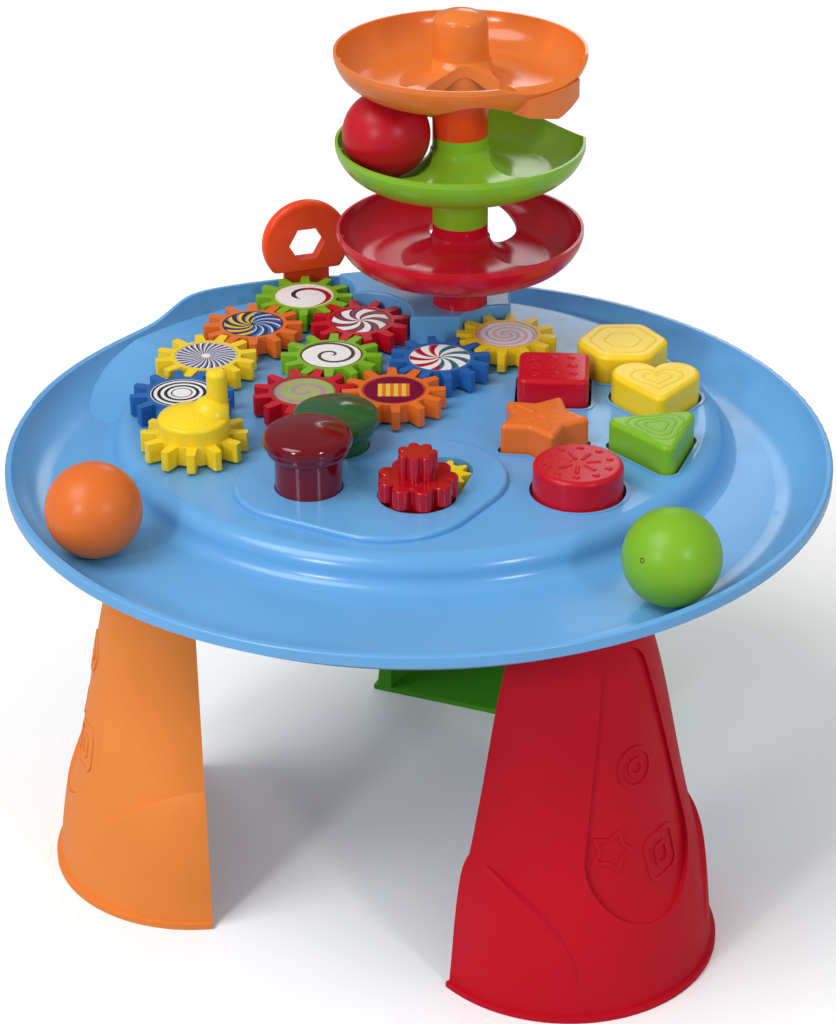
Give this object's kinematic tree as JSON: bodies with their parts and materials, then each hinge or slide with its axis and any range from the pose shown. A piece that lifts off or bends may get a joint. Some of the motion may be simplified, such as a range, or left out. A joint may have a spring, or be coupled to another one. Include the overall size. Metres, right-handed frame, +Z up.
{
  "type": "activity table",
  "caption": "Round toddler activity table on three legs with a ball track, dish tower, meshing gears, shape blocks, see-saw pegs, a knob, a spanner and loose balls.",
  "frame": {"origin": "on the floor, under the centre of the bounding box", "axes": "+Z up, +Y from the child's side at the front towards the ball tower at the back, +X to the right seen from the front"},
  "size_m": [0.54, 0.543, 0.537],
  "materials": {
    "blue_tray": "satin moulded",
    "blue_cover": "satin moulded",
    "orange_plastic": "satin moulded",
    "red_plastic": "satin moulded",
    "green_plastic": "satin moulded",
    "yellow_plastic": "satin moulded",
    "blue_plastic": "satin moulded",
    "red_clear": "tinted, polished",
    "green_clear": "tinted, polished",
    "white_plastic": "satin moulded",
    "steel": "zinc-plated",
    "print_green": "printed film",
    "print_orange": "printed film",
    "print_red": "printed film",
    "print_yellow": "printed film",
    "print_blue": "printed film",
    "print_white": "printed film"
  },
  "bodies": {
    "base": {"tray_top": "blue_tray", "underside_cover": "blue_cover", "cover_screws": "steel", "leg_screws": "steel", "sorter_box": "white_plastic", "leg_orange": "orange_plastic", "leg_red": "red_plastic", "leg_green": "green_plastic", "dish_red": "red_plastic", "dish_green": "green_plastic", "dish_orange": "orange_plastic", "tower_cap": "orange_plastic", "rocker_pin": "steel"},
    "gear_crank": {"gear_crank": "yellow_plastic", "crank_handle": "yellow_plastic"},
    "gear_blue_left": {"gear_blue_left": "blue_plastic", "disc_blue_left": "print_blue"},
    "gear_yellow_left": {"gear_yellow_left": "yellow_plastic", "disc_yellow_left": "print_yellow"},
    "gear_orange_back": {"gear_orange_back": "orange_plastic", "disc_orange_back": "print_orange"},
    "gear_green_back": {"gear_green_back": "green_plastic", "disc_green_back": "print_green"},
    "gear_red_back": {"gear_red_back": "red_plastic", "disc_red_back": "print_red"},
    "gear_green_mid": {"gear_green_mid": "green_plastic", "disc_green_mid": "print_white"},
    "gear_red_mid": {"gear_red_mid": "red_plastic", "disc_red_mid": "print_orange"},
    "gear_orange_mid": {"gear_orange_mid": "orange_plastic", "disc_orange_mid": "print_red"},
    "gear_blue_right": {"gear_blue_right": "blue_plastic", "disc_blue_right": "print_orange"},
    "gear_yellow_right": {"gear_yellow_right": "yellow_plastic", "disc_yellow_right": "print_white"},
    "knob_red": {"knob_red": "red_clear"},
    "knob_gear": {"knob_gear": "yellow_plastic"},
    "peg_red": {"peg_red": "red_clear"},
    "peg_green": {"peg_green": "green_clear"},
    "rocker_beam": {"rocker_beam": "white_plastic"},
    "block_hexagon_yellow": {"block_hexagon_yellow": "yellow_plastic"},
    "block_square_red": {"block_square_red": "red_plastic"},
    "block_heart_yellow": {"block_heart_yellow": "yellow_plastic"},
    "block_star_orange": {"block_star_orange": "orange_plastic"},
    "block_triangle_green": {"block_triangle_green": "green_plastic"},
    "block_circle_red": {"block_circle_red": "red_plastic"},
    "spanner": {"spanner": "orange_plastic"},
    "ball_orange": {"ball_orange": "orange_plastic"},
    "ball_green": {"ball_green": "green_plastic"},
    "ball_red": {"ball_red": "red_plastic"}
  },
  "joints": [
    {"name": "gear_crank_turn", "type": "hinge", "parent": "base", "child": "gear_crank", "pos_m": [-0.1464, -0.0095, 0.3095], "axis": [0, 0, 1], "continuous": true},
    {"name": "gear_blue_left_turn", "type": "hinge", "parent": "base", "child": "gear_blue_left", "pos_m": [-0.15877, 0.04921, 0.3095], "axis": [0, 0, 1], "continuous": true},
    {"name": "gear_yellow_left_turn", "type": "hinge", "parent": "base", "child": "gear_yellow_left", "pos_m": [-0.1464, 0.10792, 0.3095], "axis": [0, 0, 1], "continuous": true},
    {"name": "gear_orange_back_turn", "type": "hinge", "parent": "base", "child": "gear_orange_back", "pos_m": [-0.11676, 0.16009, 0.3095], "axis": [0, 0, 1], "continuous": true},
    {"name": "gear_green_back_turn", "type": "hinge", "parent": "base", "child": "gear_green_back", "pos_m": [-0.08201, 0.209, 0.3095], "axis": [0, 0, 1], "continuous": true},
    {"name": "gear_red_back_turn", "type": "hinge", "parent": "base", "child": "gear_red_back", "pos_m": [-0.04101, 0.16519, 0.3095], "axis": [0, 0, 1], "continuous": true},
    {"name": "gear_green_mid_turn", "type": "hinge", "parent": "base", "child": "gear_green_mid", "pos_m": [-0.05985, 0.10822, 0.3095], "axis": [0, 0, 1], "continuous": true},
    {"name": "gear_red_mid_turn", "type": "hinge", "parent": "base", "child": "gear_red_mid", "pos_m": [-0.07659, 0.05061, 0.3095], "axis": [0, 0, 1], "continuous": true},
    {"name": "gear_orange_mid_turn", "type": "hinge", "parent": "base", "child": "gear_orange_mid", "pos_m": [-0.0166, 0.05176, 0.3095], "axis": [0, 0, 1], "continuous": true},
    {"name": "gear_blue_right_turn", "type": "hinge", "parent": "base", "child": "gear_blue_right", "pos_m": [0.01475, 0.10292, 0.3095], "axis": [0, 0, 1], "continuous": true},
    {"name": "gear_yellow_right_turn", "type": "hinge", "parent": "base", "child": "gear_yellow_right", "pos_m": [0.06177, 0.14018, 0.3095], "axis": [0, 0, 1], "continuous": true},
    {"name": "knob_turn", "type": "hinge", "parent": "base", "child": "knob_red", "pos_m": [-0.001, -0.0785, 0.31], "axis": [0, 0, 1], "continuous": true},
    {"name": "knob_gear_turn", "type": "hinge", "parent": "base", "child": "knob_gear", "pos_m": [0.0161, -0.04524, 0.3], "axis": [0, 0, 1], "continuous": true},
    {"name": "peg_red_push", "type": "slide", "parent": "base", "child": "peg_red", "axis": [0, 0, 1], "range_m": [-0.014, 0]},
    {"name": "peg_green_rise", "type": "slide", "parent": "base", "child": "peg_green", "axis": [0, 0, 1], "range_m": [0, 0.014]},
    {"name": "rocker_tip", "type": "hinge", "parent": "base", "child": "rocker_beam", "pos_m": [-0.062, -0.0365, 0.274], "axis": [-0.964, 0.2659, 0], "range_deg": [-26.21, 0]},
    {"name": "block_hexagon_yellow_lift", "type": "slide", "parent": "base", "child": "block_hexagon_yellow", "axis": [0, 0, 1], "range_m": [0, 0.045]},
    {"name": "block_square_red_lift", "type": "slide", "parent": "base", "child": "block_square_red", "axis": [0, 0, 1], "range_m": [0, 0.045]},
    {"name": "block_heart_yellow_lift", "type": "slide", "parent": "base", "child": "block_heart_yellow", "axis": [0, 0, 1], "range_m": [0, 0.045]},
    {"name": "block_star_orange_lift", "type": "slide", "parent": "base", "child": "block_star_orange", "axis": [0, 0, 1], "range_m": [0, 0.045]},
    {"name": "block_triangle_green_lift", "type": "slide", "parent": "base", "child": "block_triangle_green", "axis": [0, 0, 1], "range_m": [0, 0.045]},
    {"name": "block_circle_red_lift", "type": "slide", "parent": "base", "child": "block_circle_red", "axis": [0, 0, 1], "range_m": [0, 0.045]},
    {"name": "spanner_lift", "type": "slide", "parent": "base", "child": "spanner", "axis": [0, 0, 1], "range_m": [0, 0.035]},
    {"name": "ball_orange_roll", "type": "hinge", "parent": "base", "child": "ball_orange", "pos_m": [0, -0.0015, 0.3117], "axis": [0, 0, 1], "range_deg": [-30, 35]},
    {"name": "ball_green_roll", "type": "hinge", "parent": "base", "child": "ball_green", "pos_m": [0, -0.0015, 0.3117], "axis": [0, 0, 1], "range_deg": [-50, 46]},
    {"name": "ball_red_roll", "type": "hinge", "parent": "base", "child": "ball_red", "pos_m": [0.03, 0.1845, 0.4517], "axis": [0, 0, 1], "range_deg": [-40, 0]}
  ],
  "couplings": [
    {"joint": "gear_blue_left_turn", "follows": "gear_crank_turn", "ratio": -1},
    {"joint": "gear_yellow_left_turn", "follows": "gear_crank_turn", "ratio": 1},
    {"joint": "gear_orange_back_turn", "follows": "gear_crank_turn", "ratio": -1},
    {"joint": "gear_green_back_turn", "follows": "gear_crank_turn", "ratio": 1},
    {"joint": "gear_red_back_turn", "follows": "gear_crank_turn", "ratio": -1},
    {"joint": "gear_green_mid_turn", "follows": "gear_crank_turn", "ratio": 1},
    {"joint": "gear_red_mid_turn", "follows": "gear_crank_turn", "ratio": -1},
    {"joint": "gear_orange_mid_turn", "follows": "gear_crank_turn", "ratio": 1},
    {"joint": "gear_blue_right_turn", "follows": "gear_crank_turn", "ratio": -1},
    {"joint": "gear_yellow_right_turn", "follows": "gear_crank_turn", "ratio": 1},
    {"joint": "knob_gear_turn", "follows": "knob_turn", "ratio": -1.4444},
    {"joint": "peg_green_rise", "follows": "peg_red_push", "ratio": -1},
    {"joint": "rocker_tip", "follows": "peg_red_push", "rad_per_m": 32.66}
  ]
}
